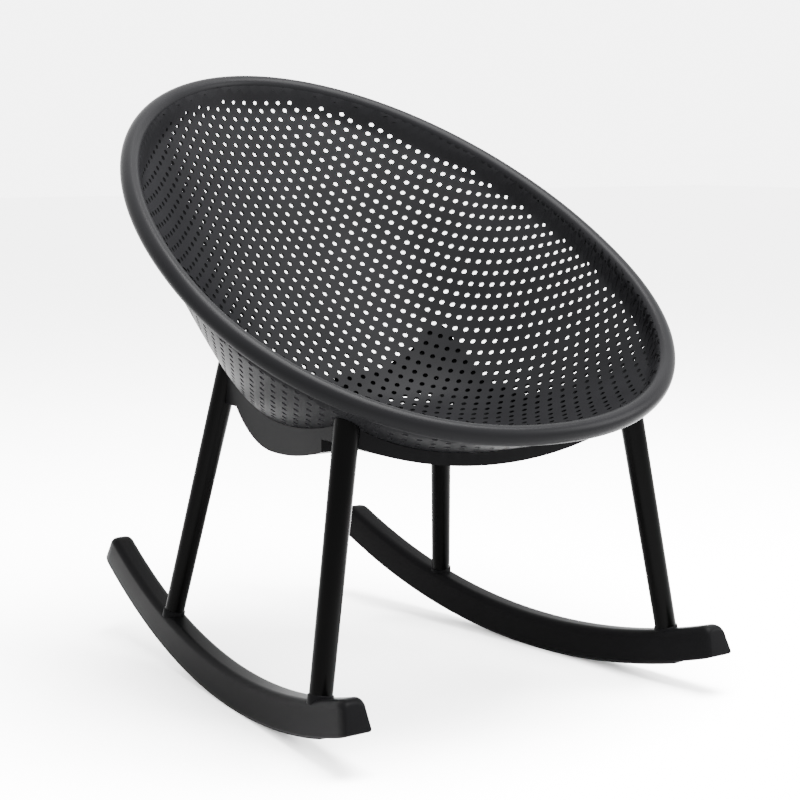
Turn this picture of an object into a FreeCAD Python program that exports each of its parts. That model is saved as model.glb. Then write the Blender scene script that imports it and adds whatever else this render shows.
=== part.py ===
import FreeCAD, Part
import math
import os

import Sketcher
from FreeCAD import Placement, Rotation, Vector

# A moulded plastic rocking chair: a perforated egg-shaped seat shell on a cradle ring,
# four round tapered legs and two curved rockers with soles. Millimetres, Z up, the chair
# faces -Y, the floor is z = 0 and the middle plane is x = 0.

doc = FreeCAD.newDocument("rocking_chair")
sheet = doc.addObject("Spreadsheet::Sheet", "sizes")

# Driving dimensions: alias and value in millimetres or degrees.
SIZES = (
    ("rim_half_width", 337.5),
    ("rim_back_reach", 449.0),
    ("rim_front_reach", 361.0),
    ("rim_origin_back", -56.5),
    ("rim_origin_height", 550.1),
    ("rim_tilt", 31.05),
    ("rim_front_squareness", 2.2),
    ("bowl_depth", 241.0),
    ("bowl_deepest_back", 15.0),
    ("shell_wall", 4.0),
    ("roll_radius", 12.5),
    ("roll_wall", 3.5),
    ("roll_outer_lip_angle", -35.0),
    ("roll_inner_lip_angle", 236.0),
    ("fit_clearance", 0.3),
    ("rocker_arc_radius", 989.0),
    ("rocker_contact_back", -56.8),
    ("rocker_half_spacing", 246.06),
    ("rocker_toe_angle", 5.89),
    ("rocker_front_angle", 17.68),
    ("rocker_rear_angle", 26.26),
    ("rocker_depth", 42.0),
    ("rocker_bottom_width", 40.0),
    ("rocker_top_width", 33.0),
    ("rocker_top_round", 9.5),
    ("rocker_bottom_round", 3.0),
    ("sole_front_angle", 14.35),
    ("sole_rear_angle", 22.3),
    ("sole_width", 34.0),
    ("sole_proud", 2.5),
    ("sole_groove_depth", 1.5),
    ("socket_depth", 20.0),
    ("socket_floor", 12.0),
    ("collar_rise", 5.0),
    ("collar_wall", 2.5),
    ("leg_foot_rise", 1.4),
    ("front_leg_foot_back", -270.2),
    ("front_leg_top_side", 214.9),
    ("front_leg_top_back", -247.1),
    ("front_leg_foot_width", 28.0),
    ("front_leg_top_width", 31.0),
    ("rear_leg_foot_back", 166.4),
    ("rear_leg_top_side", 176.4),
    ("rear_leg_top_back", 104.6),
    ("rear_leg_foot_width", 26.5),
    ("rear_leg_top_width", 30.0),
    ("leg_top_height", 380.0),
    ("cradle_front_reach", 262.0),
    ("cradle_front_edge_height", 313.0),
    ("cradle_rear_reach", 112.0),
    ("cradle_side_half_width", 200.0),
    ("cradle_side_edge_height", 318.0),
    ("cradle_rear_edge_height", 345.0),
    ("cradle_arch_height", 361.0),
    ("cradle_opening_half_width", 145.0),
    ("cradle_opening_front", -205.0),
    ("cradle_opening_rear", 66.0),
    ("front_leg_bolt_height", 356.0),
    ("rear_leg_bolt_height", 372.0),
    ("leg_bolt_seat", 22.0),
    ("leg_bolt_diameter", 8.0),
    ("leg_bolt_head_diameter", 13.0),
    ("leg_bolt_head_height", 5.0),
    ("rocker_screw_diameter", 8.0),
    ("rocker_screw_head_diameter", 14.0),
    ("rocker_screw_head_height", 5.0),
    ("rocker_screw_length", 44.0),
    ("insert_wall", 1.6),
    ("insert_length", 16.0),
    ("shell_screw_diameter", 5.0),
    ("shell_screw_head_diameter", 10.0),
    ("shell_screw_head_height", 3.5),
    ("shell_screw_length", 13.5),
    ("washer_thickness", 1.5),
    ("boss_diameter", 14.0),
    ("boss_drop", 12.5),
)
for row, (alias, value) in enumerate(SIZES, 1):
    sheet.set("A%d" % row, alias)
    sheet.set("B%d" % row, str(value))
    sheet.setAlias("B%d" % row, alias)
doc.recompute()


def size(alias):
    """The value that the sheet holds under this alias."""
    return float(sheet.get(alias))


CLEARANCE = size("fit_clearance")
LEFT, RIGHT = 1, -1


# Shared helpers: a body's plane, a sketch on it, closed runs of lines and arcs.
def new_sketch(body, role, name, offset=Placement()):
    """A sketch on one of the body's own origin planes, shifted by offset."""
    sketch = body.newObject("Sketcher::SketchObject", name)
    plane = next(item for item in body.Origin.OriginFeatures if item.Role == role)
    sketch.AttachmentSupport = [(plane, "")]
    sketch.MapMode = "FlatFace"
    sketch.AttachmentOffset = offset
    return sketch


def draw_lines(sketch, points):
    """A closed run of straight lines."""
    for start, end in zip(points, points[1:] + points[:1]):
        sketch.addGeometry(Part.LineSegment(Vector(*start, 0), Vector(*end, 0)), False)


def draw_circle(sketch, x, y, diameter_alias):
    """A circle whose diameter follows the sheet."""
    circle = Part.Circle(Vector(x, y, 0), Vector(0, 0, 1), size(diameter_alias) / 2)
    index = sketch.addGeometry(circle, False)
    rule = sketch.addConstraint(Sketcher.Constraint("Diameter", index, size(diameter_alias)))
    name = "diameter%d" % index
    sketch.renameConstraint(rule, name)
    sketch.setExpression("Constraints." + name, "sizes." + diameter_alias)
    return index


def arc_through(start, middle, end):
    return Part.ArcOfCircle(Vector(*start, 0), Vector(*middle, 0), Vector(*end, 0))


def boolean(kind, name, base, tool):
    """A Part::Cut, Part::Fuse or Part::Common of two objects."""
    result = doc.addObject("Part::" + kind, name)
    result.Base = base
    result.Tool = tool
    return result


def joined(name, items):
    """Several objects taken as one cutting tool or one group."""
    group = doc.addObject("Part::MultiFuse", name)
    group.Shapes = items
    return group


def cylinder(name, radius_rule, height_rule, placement):
    """A cylinder whose radius and height are rules on the sheet."""
    item = doc.addObject("Part::Cylinder", name)
    item.setExpression("Radius", radius_rule)
    item.setExpression("Height", height_rule)
    item.Placement = placement
    return item


# The rim outline seen square on: half an ellipse behind, a squarer half oval in front.
# Deeper outlines shrink by these shares of the reach, so that the bowl is round-bottomed.
BACK_ROUND, BACK_SLOPE = 0.22, 0.95
FRONT_ROUND, FRONT_SLOPE = 0.55, 0.68
SIDE_ROUND, SIDE_SLOPE = 1.45, -0.70
WIDEST_SHIFT = 180.0
OUTLINE_POINTS = 8
SLOPE_STEP = 1e-4
BOWL_STATIONS = (1.0, 0.86, 0.70, 0.52, 0.34, 0.18, 0.04)


def reach(full, round_share, slope_share, station):
    """Distance from the deepest point to the outline; station is 1 at the rim, 0 at the bottom."""
    last_share = 1 - round_share - slope_share
    return full * (round_share * station + slope_share * station**2 + last_share * station**4)


def outline_reaches(station, grow):
    """Half width, back, front and widest line of the bowl's outline at this station."""
    deepest = size("bowl_deepest_back")
    depth_share = 1 - station**2
    side = reach(size("rim_half_width"), SIDE_ROUND, SIDE_SLOPE, station) + grow
    back = deepest + reach(size("rim_back_reach") - deepest, BACK_ROUND, BACK_SLOPE, station) + grow
    front = deepest - reach(size("rim_front_reach") + deepest, FRONT_ROUND, FRONT_SLOPE, station) - grow
    widest = deepest * depth_share**2 - WIDEST_SHIFT * depth_share * (1 - depth_share)
    return side, back, front, widest


def outline_point(turn, station, grow):
    """A point of the bowl's outline at this station, grown outwards."""
    side, back, front, widest = outline_reaches(station, grow)
    along, across = math.cos(turn), math.sin(turn)
    if along > 0:
        return Vector(side * across, widest + (back - widest) * along, 0)
    power = 2 / size("rim_front_squareness")
    x = side * math.copysign(abs(across) ** power, across)
    return Vector(x, widest - (widest - front) * abs(along) ** power, 0)


def outline_tangent(turn, station, grow):
    ahead = outline_point(turn + SLOPE_STEP, station, grow)
    behind = outline_point(turn - SLOPE_STEP, station, grow)
    return (ahead - behind).normalize()


def arc_leaving(start, tangent, end):
    """The arc that leaves start along tangent and ends at end."""
    chord = end - start
    normal = Vector(-tangent.y, tangent.x, 0)
    centre = start + normal * (chord.dot(chord) / (2 * normal.dot(chord)))
    radius = (start - centre).Length
    middle = centre + ((start - centre) + (end - centre)).normalize() * radius
    return Part.ArcOfCircle(start, middle, end)


def draw_outline(sketch, station, grow):
    """The outline as tangent arcs, two between neighbouring points."""
    turns = [2 * math.pi * k / OUTLINE_POINTS for k in range(OUTLINE_POINTS)]
    stops = [
        (outline_point(turn, station, grow), outline_tangent(turn, station, grow))
        for turn in turns
    ]
    for (start, leaving), (end, arriving) in zip(stops, stops[1:] + stops[:1]):
        span = end - start
        turn_share = 2 * (1 - leaving.dot(arriving))
        across_share = span.dot(leaving + arriving)
        root = math.sqrt(across_share**2 + turn_share * span.dot(span))
        handle = (root - across_share) / turn_share
        knee = (start + end + (leaving - arriving) * handle) * 0.5
        sketch.addGeometry(arc_leaving(start, leaving, knee), False)
        sketch.addGeometry(arc_leaving(end, arriving, knee), False)


def bowl_sketch(body, name, station, grow, drop):
    """One level outline of the bowl as a closed curve."""
    height = -(1 - station**2) * size("bowl_depth") - drop
    sketch = new_sketch(body, "XY_Plane", name, Placement(Vector(0, 0, height), Rotation()))
    draw_outline(sketch, station, grow)
    return sketch


def bowl_loft(body, kind, name, rim_grow, grow, drop):
    """The bowl's surface as a loft; drop and grow move it out by a wall or a clearance."""
    rim = bowl_sketch(body, name + "_rim", 1.0, rim_grow, 0.0)
    levels = [
        bowl_sketch(body, "%s_level%d" % (name, number), station, grow, drop)
        for number, station in enumerate(BOWL_STATIONS[1:], 1)
    ]
    loft = body.newObject("PartDesign::" + kind, name)
    loft.Profile = rim
    loft.Sections = [(level, [""]) for level in levels]
    return loft


RIM_PLACE = Placement(
    Vector(0, size("rim_origin_back"), size("rim_origin_height")),
    Rotation(Vector(1, 0, 0), size("rim_tilt")),
)
OUTER_RIM_GROW = 1.4
OUTER_GROW = 0.55

# Seat shell: one thin moulding. Its bosses, wall, and the roll round its rim.
shell_body = doc.addObject("PartDesign::Body", "seat_shell_body")
shell_body.Placement = RIM_PLACE
wall = size("shell_wall")
bowl_loft(shell_body, "AdditiveLoft", "outer_bowl", OUTER_RIM_GROW * wall, OUTER_GROW * wall, wall)



def inside_shell(point):
    """Whether a point of the standing chair lies above the shell's underside."""
    local = RIM_PLACE.inverse().multVec(point)
    depth_share = (-local.z - wall) / size("bowl_depth")
    if depth_share >= 1:
        return False
    side, back, front, widest = outline_reaches(math.sqrt(1 - depth_share), OUTER_GROW * wall)
    if local.y > widest:
        return (local.x / side) ** 2 + ((local.y - widest) / (back - widest)) ** 2 < 1
    power = size("rim_front_squareness")
    lengthwise = (widest - local.y) / (widest - front)
    return abs(local.x / side) ** power + lengthwise**power < 1


UNDERSIDE_STEP = 0.01


def underside_height(side, back):
    """Height of the shell's underside over this point of the floor, by halving."""
    low, high = 0.0, size("rim_origin_height") + (back - size("rim_origin_back")) * math.tan(
        math.radians(size("rim_tilt"))
    )
    while high - low > UNDERSIDE_STEP:
        middle = (low + high) / 2
        if inside_shell(Vector(side, back, middle)):
            high = middle
        else:
            low = middle
    return high


# Screw bosses stand straight down under the seat, inside the cradle ring. Each place is
# its distance outside the ring's opening and its distance back.
BOSS_SPOTS = ((23.0, -150.0), (13.0, 10.0))
BOSS_PLACES = []
for outside, back in BOSS_SPOTS:
    side = size("cradle_opening_half_width") + outside
    BOSS_PLACES.append((side, back, underside_height(side, back) - size("boss_drop")))
BOSS_LENGTH = 30.0
PILOT_DEPTH = 8.5
PILOT_SHARE = 0.8


def level_in_shell(height):
    """A level plane of the standing chair, given in the tilted frame of the shell."""
    inverse = RIM_PLACE.inverse()
    return Placement(inverse.multVec(Vector(0, 0, height)), inverse.Rotation)


for pair, (side, back, foot) in enumerate(BOSS_PLACES):
    boss_sketch = new_sketch(shell_body, "XY_Plane", "boss_outline%d" % pair, level_in_shell(foot))
    for hand in (LEFT, RIGHT):
        draw_circle(boss_sketch, hand * side, back, "boss_diameter")
    boss = shell_body.newObject("PartDesign::Pad", "bosses%d" % pair)
    boss.Profile = boss_sketch
    boss.Length = BOSS_LENGTH
bowl_loft(shell_body, "SubtractiveLoft", "inner_bowl", 0.0, 0.0, 0.0)

rim_path = new_sketch(shell_body, "XY_Plane", "rim_path")
draw_outline(rim_path, 1.0, 0.0)


def along_rim(kind, name, profile):
    pipe = shell_body.newObject("PartDesign::" + kind, name)
    pipe.Profile = profile
    pipe.Spine = rim_path
    pipe.Mode = "Binormal"
    pipe.Binormal = Vector(0, 0, 1)
    return pipe


# The wall stops inside the roll's own wall, and the roll closes over it, open below.
roll_radius = size("roll_radius")
roll_inside = roll_radius - size("roll_wall")
room_sketch = new_sketch(shell_body, "YZ_Plane", "roll_room_section")
room_centre = Vector(size("rim_back_reach"), 0, 0)
room_sketch.addGeometry(
    Part.Circle(room_centre, Vector(0, 0, 1), (roll_radius + roll_inside) / 2), False
)
along_rim("SubtractivePipe", "roll_room", room_sketch)

ROLL_OUTER_CHORDS = 10
ROLL_INNER_CHORDS = 6


def roll_points(radius, chords):
    first, last = size("roll_outer_lip_angle"), size("roll_inner_lip_angle")
    angles = [math.radians(first + (last - first) * k / chords) for k in range(chords + 1)]
    centre = size("rim_back_reach")
    return [(centre + radius * math.cos(a), radius * math.sin(a)) for a in angles]


roll_sketch = new_sketch(shell_body, "YZ_Plane", "roll_section")
outer_points = roll_points(roll_radius, ROLL_OUTER_CHORDS)
inner_points = roll_points(roll_inside, ROLL_INNER_CHORDS)
draw_lines(roll_sketch, outer_points + inner_points[::-1])
along_rim("AdditivePipe", "rim_roll", roll_sketch)

# Pilot holes for the shell screws, up into the bosses.
for pair, (side, back, foot) in enumerate(BOSS_PLACES):
    pilot_sketch = new_sketch(shell_body, "XY_Plane", "pilot_outline%d" % pair, level_in_shell(foot))
    for hand in (LEFT, RIGHT):
        centre = Vector(hand * side, back, 0)
        radius = PILOT_SHARE * size("shell_screw_diameter") / 2
        pilot_sketch.addGeometry(Part.Circle(centre, Vector(0, 0, 1), radius), False)
    pilot = shell_body.newObject("PartDesign::Pocket", "pilots%d" % pair)
    pilot.Profile = pilot_sketch
    pilot.Length = PILOT_DEPTH
    pilot.Reversed = True

# The room that the shell takes up, grown by the fitting clearance: what the cradle and
# the leg tops are cut to.
ABOVE_RIM = 60.0
room_body = doc.addObject("PartDesign::Body", "shell_room")
room_body.Placement = RIM_PLACE
bowl_loft(
    room_body,
    "AdditiveLoft",
    "room_bowl",
    OUTER_RIM_GROW * wall + CLEARANCE,
    OUTER_GROW * wall + CLEARANCE,
    wall + CLEARANCE,
)
above_rim = room_body.newObject("PartDesign::Pad", "above_rim")
above_rim.Profile = doc.getObject("room_bowl_rim")
above_rim.Length = ABOVE_RIM


# Legs: round tapered bars, each on an axis from its foot on the rocker to its top.
def rocker_top_point(back):
    """A point on the middle of the left rocker's top face, at this distance back."""
    toe = math.radians(size("rocker_toe_angle"))
    behind = back - size("rocker_contact_back")
    radius = size("rocker_arc_radius")
    top_radius = radius - size("sole_proud") - size("rocker_depth")
    height = radius - math.sqrt(top_radius**2 - (behind / math.cos(toe)) ** 2)
    return Vector(size("rocker_half_spacing") - behind * math.tan(toe), back, height)


def leg_axis(which):
    """Foot and top of the left leg's axis; the foot stands on the rocker."""
    foot = rocker_top_point(size(which + "_leg_foot_back")) + Vector(0, 0, size("leg_foot_rise"))
    top = Vector(
        size(which + "_leg_top_side"), size(which + "_leg_top_back"), size("leg_top_height")
    )
    return foot, top


def mirrored(point, hand):
    return Vector(hand * point.x, point.y, point.z)


def on_axis(start, direction, along=0.0):
    """A placement with its Z along direction, shifted along it."""
    unit = Vector(direction).normalize()
    return Placement(start + unit * along, Rotation(Vector(0, 0, 1), unit))


LEG_EXTRA_TOP = 40.0
FOOT_CHAMFER = 1.0


def leg_bar(name, which, hand, extra_radius=0.0, extra_end=0.0):
    """The leg's bar as a revolved profile; the extras make the room it needs."""
    foot, top = leg_axis(which)
    length = (top - foot).Length
    foot_radius = size(which + "_leg_foot_width") / 2
    top_radius = size(which + "_leg_top_width") / 2
    taper = (top_radius - foot_radius) / length
    low = -size("socket_depth") - extra_end
    high = length + LEG_EXTRA_TOP
    chamfer = FOOT_CHAMFER
    body = doc.addObject("PartDesign::Body", name)
    profile = new_sketch(body, "XZ_Plane", name + "_profile")
    low_radius = foot_radius + taper * low + extra_radius
    high_radius = foot_radius + taper * high + extra_radius
    draw_lines(
        profile,
        [
            (0, low),
            (low_radius - chamfer, low),
            (low_radius, low + chamfer),
            (high_radius, high),
            (0, high),
        ],
    )
    turned = body.newObject("PartDesign::Revolution", name + "_turned")
    turned.Profile = profile
    turned.ReferenceAxis = (profile, ["V_Axis"])
    turned.Angle = 360.0
    start = mirrored(foot, hand)
    body.Placement = on_axis(start, mirrored(top, hand) - start)
    return body


def axis_point(which, hand, height):
    """Where a leg's axis is at this height."""
    foot, top = leg_axis(which)
    share = (height - foot.z) / (top.z - foot.z)
    return mirrored(foot + (top - foot) * share, hand)


LEGS = (("front", LEFT), ("front", RIGHT), ("rear", LEFT), ("rear", RIGHT))
HAND_WORD = {LEFT: "left", RIGHT: "right"}


def leg_name(which, hand):
    return "%s_leg_%s" % (which, HAND_WORD[hand])


# Leg bolts run level from inside the cradle ring, towards each leg's axis.
FRONT_AIM_SHARE = 0.6
SIDE_AIM_SHARE = 0.35


def bolt_direction(which, hand):
    """Level unit vector from the leg towards the middle of the ring."""
    point = axis_point(which, hand, size(which + "_leg_bolt_height"))
    aim_back = FRONT_AIM_SHARE * size("cradle_opening_front") if which == "front" else 0.0
    aim_side = SIDE_AIM_SHARE * size("cradle_opening_half_width")
    aim = Vector(hand * aim_side, aim_back, point.z)
    return (aim - point).normalize()


BOLT_INTO_LEG = 8.0
BORE_RUN_OUT = 10.0
HEAD_RUN_OUT = 60.0
SCREW_TIP_ROOM = 2.0


def bolt_cylinder(name, which, hand, radius_rule, start, end):
    """A cylinder on the bolt's line, between two distances from the leg's axis."""
    point = axis_point(which, hand, size(which + "_leg_bolt_height"))
    direction = bolt_direction(which, hand)
    item = doc.addObject("Part::Cylinder", name)
    item.setExpression("Radius", radius_rule)
    item.Height = end - start
    item.Placement = on_axis(point, direction, start)
    return item


INSERT_RADIUS_RULE = "sizes.%s_diameter / 2 + sizes.insert_wall"
COLLAR_ROOT = 12.0
bolts, washers, top_inserts = [], [], []
screws, foot_inserts = [], []
leg_rooms, bolt_rooms = [], []
socket_tools = {LEFT: [], RIGHT: []}
collars = {LEFT: [], RIGHT: []}
for which, hand in LEGS:
    name = leg_name(which, hand)
    bar = leg_bar(name + "_bar", which, hand)
    room = leg_bar(name + "_room", which, hand, CLEARANCE, CLEARANCE)
    leg_rooms.append(room)
    foot, top = leg_axis(which)
    start = mirrored(foot, hand)
    direction = mirrored(top, hand) - start
    bottom = -size("socket_depth")

    # The foot insert is pressed into the leg's end, and the rocker screw enters it.
    insert_rule = INSERT_RADIUS_RULE % "rocker_screw"
    insert_place = on_axis(start, direction, bottom)
    foot_room = cylinder(name + "_foot_bore", insert_rule, "sizes.insert_length", insert_place)
    foot_solid = cylinder(name + "_foot_insert", insert_rule, "sizes.insert_length", insert_place)
    foot_hole = cylinder(
        name + "_foot_insert_bore",
        "sizes.rocker_screw_diameter / 2",
        "sizes.insert_length",
        insert_place,
    )
    foot_inserts.append(boolean("Cut", name + "_foot_ring", foot_solid, foot_hole))
    screw_room = cylinder(
        name + "_screw_room",
        "sizes.rocker_screw_diameter / 2 + sizes.fit_clearance",
        "sizes.rocker_screw_length",
        on_axis(start, direction, bottom - size("rocker_screw_length") / 2),
    )

    # The top insert lies across the leg, on the bolt's line.
    bolt_insert_rule = INSERT_RADIUS_RULE % "leg_bolt"
    half_insert = size("insert_length") / 2
    top_room = bolt_cylinder(
        name + "_top_bore", which, hand, bolt_insert_rule, -half_insert, half_insert + BORE_RUN_OUT
    )
    top_solid = bolt_cylinder(
        name + "_top_insert", which, hand, bolt_insert_rule, -half_insert, half_insert
    )
    top_hole = bolt_cylinder(
        name + "_top_insert_bore",
        which,
        hand,
        "sizes.leg_bolt_diameter / 2",
        -half_insert,
        half_insert,
    )
    top_inserts.append(boolean("Cut", name + "_top_ring", top_solid, top_hole))
    leg_tools = joined(name + "_cuts", [room_body, foot_room, screw_room, top_room])
    leg = boolean("Cut", name, bar, leg_tools)
    leg.Label = name

    # Bolt with its washer, its head against the ring's inner face.
    seat = size("leg_bolt_seat")
    head = bolt_cylinder(
        name + "_bolt_head",
        which,
        hand,
        "sizes.leg_bolt_head_diameter / 2",
        seat + size("washer_thickness"),
        seat + size("washer_thickness") + size("leg_bolt_head_height"),
    )
    shank = bolt_cylinder(
        name + "_bolt_shank",
        which,
        hand,
        "sizes.leg_bolt_diameter / 2",
        -BOLT_INTO_LEG,
        seat + size("washer_thickness"),
    )
    bolts.append(joined(name + "_bolt", [head, shank]))
    washer_disc = bolt_cylinder(
        name + "_washer_disc",
        which,
        hand,
        "sizes.leg_bolt_head_diameter / 2 + sizes.washer_thickness",
        seat,
        seat + size("washer_thickness"),
    )
    washer_hole = bolt_cylinder(
        name + "_washer_hole",
        which,
        hand,
        "sizes.leg_bolt_diameter / 2",
        seat,
        seat + size("washer_thickness"),
    )
    washers.append(boolean("Cut", name + "_washer", washer_disc, washer_hole))
    bolt_rooms.append(
        bolt_cylinder(
            name + "_bolt_room",
            which,
            hand,
            "sizes.leg_bolt_diameter / 2 + sizes.fit_clearance",
            0.0,
            seat + BORE_RUN_OUT,
        )
    )
    bolt_rooms.append(
        bolt_cylinder(
            name + "_head_room",
            which,
            hand,
            "sizes.leg_bolt_head_diameter / 2 + 2 * sizes.washer_thickness",
            seat,
            seat + HEAD_RUN_OUT,
        )
    )

    # Rocker screw: up through the rocker's floor into the foot insert.
    head_face = bottom - CLEARANCE - size("socket_floor")
    screw_head = cylinder(
        name + "_screw_head",
        "sizes.rocker_screw_head_diameter / 2",
        "sizes.rocker_screw_head_height",
        on_axis(start, direction, head_face - size("rocker_screw_head_height")),
    )
    screw_shank = cylinder(
        name + "_screw_shank",
        "sizes.rocker_screw_diameter / 2",
        "sizes.insert_length + sizes.socket_floor - %s" % SCREW_TIP_ROOM,
        on_axis(start, direction, head_face),
    )
    screws.append(joined(name + "_screw", [screw_head, screw_shank]))
    counterbore = cylinder(
        name + "_counterbore",
        "sizes.rocker_screw_head_diameter / 2 + sizes.fit_clearance",
        "sizes.rocker_screw_length",
        on_axis(start, direction, head_face - size("rocker_screw_length")),
    )
    socket_tools[hand] += [room, screw_room, counterbore]
    collar = doc.addObject("Part::Cylinder", name + "_collar")
    collar.setExpression(
        "Radius", "sizes.%s_leg_foot_width / 2 + sizes.collar_wall" % which
    )
    collar.setExpression("Height", "sizes.collar_rise + %s" % COLLAR_ROOT)
    collar.Placement = on_axis(start, direction, -COLLAR_ROOT)
    collars[hand].append(collar)

# Rockers: a drafted section with softened corners, swept on the rocking arc.
CORNER_CHORDS = 3


def soft_corner(x, z, along, up, radius):
    """Points round one corner of the section, from the side wall to the level face."""
    centre = (x - along * radius, z - up * radius)
    steps = [math.radians(90 * k / CORNER_CHORDS) for k in range(CORNER_CHORDS + 1)]
    return [
        (centre[0] + along * radius * math.cos(a), centre[1] + up * radius * math.sin(a))
        for a in steps
    ]


def rocker_section():
    """Outline of the section, from the sole's underside upwards."""
    low = size("sole_proud")
    high = low + size("rocker_depth")
    bottom_half = size("rocker_bottom_width") / 2
    top_half = size("rocker_top_width") / 2
    bottom = soft_corner(bottom_half, low, 1, -1, size("rocker_bottom_round"))
    top = soft_corner(top_half, high, 1, 1, size("rocker_top_round"))
    half = bottom[::-1] + top
    return half + [(-x, z) for x, z in half[::-1]]


def swept_section(body, name, points, front_rule, rear_rule, kind="Revolution"):
    """Revolves a section about the rocking centre, from the front angle to the rear one."""
    front = size(front_rule)
    radius = size("rocker_arc_radius")
    turned = Rotation(Vector(1, 0, 0), -front)
    offset = Placement(Vector(0, 0, 0), turned)
    pivot = Vector(0, 0, radius)
    offset.Base = pivot - turned.multVec(pivot)
    upright = Placement(Vector(), Rotation(Vector(1, 0, 0), 90))
    sketch = new_sketch(body, "XY_Plane", name + "_section", offset.multiply(upright))
    draw_lines(sketch, points)
    line = Part.LineSegment(Vector(0, radius, 0), Vector(radius, radius, 0))
    sketch.addGeometry(line, True)
    feature = body.newObject("PartDesign::" + kind, name)
    feature.Profile = sketch
    feature.ReferenceAxis = (sketch, ["Axis0"])
    feature.setExpression("Angle", "sizes.%s + sizes.%s" % (front_rule, rear_rule))
    return feature


def box_points(half_width, low, high):
    return [(-half_width, low), (half_width, low), (half_width, high), (-half_width, high)]


def rocker_place(hand):
    spot = Vector(hand * size("rocker_half_spacing"), size("rocker_contact_back"), 0)
    return Placement(spot, Rotation(Vector(0, 0, 1), hand * size("rocker_toe_angle")))


outputs = {"seat_shell": shell_body}
groove_floor = size("sole_proud") + size("sole_groove_depth")
for hand in (LEFT, RIGHT):
    word = HAND_WORD[hand]
    body = doc.addObject("PartDesign::Body", "rocker_%s_body" % word)
    swept_section(body, "bar_" + word, rocker_section(), "rocker_front_angle", "rocker_rear_angle")
    body.Placement = rocker_place(hand)
    groove = doc.addObject("PartDesign::Body", "sole_groove_" + word)
    groove_half = size("sole_width") / 2 + CLEARANCE
    points = box_points(groove_half, 0.0, groove_floor)
    swept_section(groove, "groove_" + word, points, "sole_front_angle", "sole_rear_angle")
    groove.Placement = rocker_place(hand)
    with_collars = joined("rocker_%s_with_collars" % word, [body] + collars[hand])
    tools = joined("rocker_%s_cuts" % word, [groove] + socket_tools[hand])
    rocker = boolean("Cut", "rocker_" + word, with_collars, tools)
    rocker.Label = "rocker_" + word
    outputs[rocker.Label] = rocker

    sole = doc.addObject("PartDesign::Body", "rocker_sole_" + word)
    points = box_points(size("sole_width") / 2, 0.0, groove_floor - CLEARANCE)
    swept_section(sole, "strip_" + word, points, "sole_front_angle", "sole_rear_angle")
    sole.Placement = rocker_place(hand)
    outputs["rocker_sole_" + word] = sole

# Cradle: an open ring under the seat, cut to the shell above and arched below.
CRADLE_LOW = 290.0
CRADLE_HIGH = 450.0
CORNER_ROUND = 20.0
FRONT_CORNER_INSET = (16.0, 11.0)
REAR_CORNER_INSET = (15.0, 15.0)
SIDE_BULGE = 1.0


def ring_outline(sketch):
    """Outer outline of the ring as arcs: front, corners, sides and rear."""
    slant = CORNER_ROUND * math.sqrt(0.5)
    front_x = size("front_leg_top_side") - FRONT_CORNER_INSET[0]
    front_y = size("front_leg_top_back") + FRONT_CORNER_INSET[1]
    rear_x = size("rear_leg_top_side") - REAR_CORNER_INSET[0]
    rear_y = size("rear_leg_top_back") - REAR_CORNER_INSET[1]
    side = size("cradle_side_half_width")
    front_end = (front_x, front_y - CORNER_ROUND)
    side_start = (front_x + CORNER_ROUND, front_y)
    side_end = (rear_x + CORNER_ROUND, rear_y)
    rear_end = (rear_x, rear_y + CORNER_ROUND)
    side_middle = (side + SIDE_BULGE, (front_y + rear_y) / 2)
    for hand in (LEFT, RIGHT):
        runs = (
            (front_end, (front_x + slant, front_y - slant), side_start),
            (side_start, side_middle, side_end),
            (side_end, (rear_x + slant, rear_y + slant), rear_end),
        )
        for run in runs:
            start, middle, end = [(hand * x, y) for x, y in run]
            sketch.addGeometry(arc_through(start, middle, end), False)
    left, right = [(hand * front_end[0], front_end[1]) for hand in (LEFT, RIGHT)]
    sketch.addGeometry(arc_through(left, (0, -size("cradle_front_reach")), right), False)
    left, right = [(hand * rear_end[0], rear_end[1]) for hand in (LEFT, RIGHT)]
    sketch.addGeometry(arc_through(left, (0, size("cradle_rear_reach")), right), False)


cradle_body = doc.addObject("PartDesign::Body", "seat_cradle_body")
level = Placement(Vector(0, 0, CRADLE_LOW), Rotation())
ring_sketch = new_sketch(cradle_body, "XY_Plane", "ring_outline", level)
ring_outline(ring_sketch)
ring = cradle_body.newObject("PartDesign::Pad", "ring")
ring.Profile = ring_sketch
ring.Length = CRADLE_HIGH - CRADLE_LOW

OPENING_ROUND = 35.0
opening_sketch = new_sketch(cradle_body, "XY_Plane", "opening_outline", level)
half = size("cradle_opening_half_width")
low, high = size("cradle_opening_front"), size("cradle_opening_rear")
corners = []
for x, y, first in ((half, high, 0), (-half, high, 90), (-half, low, 180), (half, low, 270)):
    centre_x = x - math.copysign(OPENING_ROUND, x)
    centre_y = y - OPENING_ROUND if y == high else y + OPENING_ROUND
    angles = [math.radians(first + step) for step in (0, 45, 90)]
    corners.append(
        [
            (centre_x + OPENING_ROUND * math.cos(a), centre_y + OPENING_ROUND * math.sin(a))
            for a in angles
        ]
    )
for corner, following in zip(corners, corners[1:] + corners[:1]):
    opening_sketch.addGeometry(arc_through(*corner), False)
    start, end = Vector(*corner[2], 0), Vector(*following[0], 0)
    opening_sketch.addGeometry(Part.LineSegment(start, end), False)
opening = cradle_body.newObject("PartDesign::Pocket", "ring_opening")
opening.Profile = opening_sketch
opening.Length = CRADLE_HIGH - CRADLE_LOW
opening.Reversed = True

# Lower edges: a shallow arch in front, one along each side that sweeps up to the rear
# leg, and a straight one behind.
FRONT_EDGE_RISE = 34.0
FRONT_EDGE_HALF = 197.0
EDGE_END = 270.0
UPRIGHT_XZ = Rotation(Vector(1, 0, 0), 90)


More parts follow.
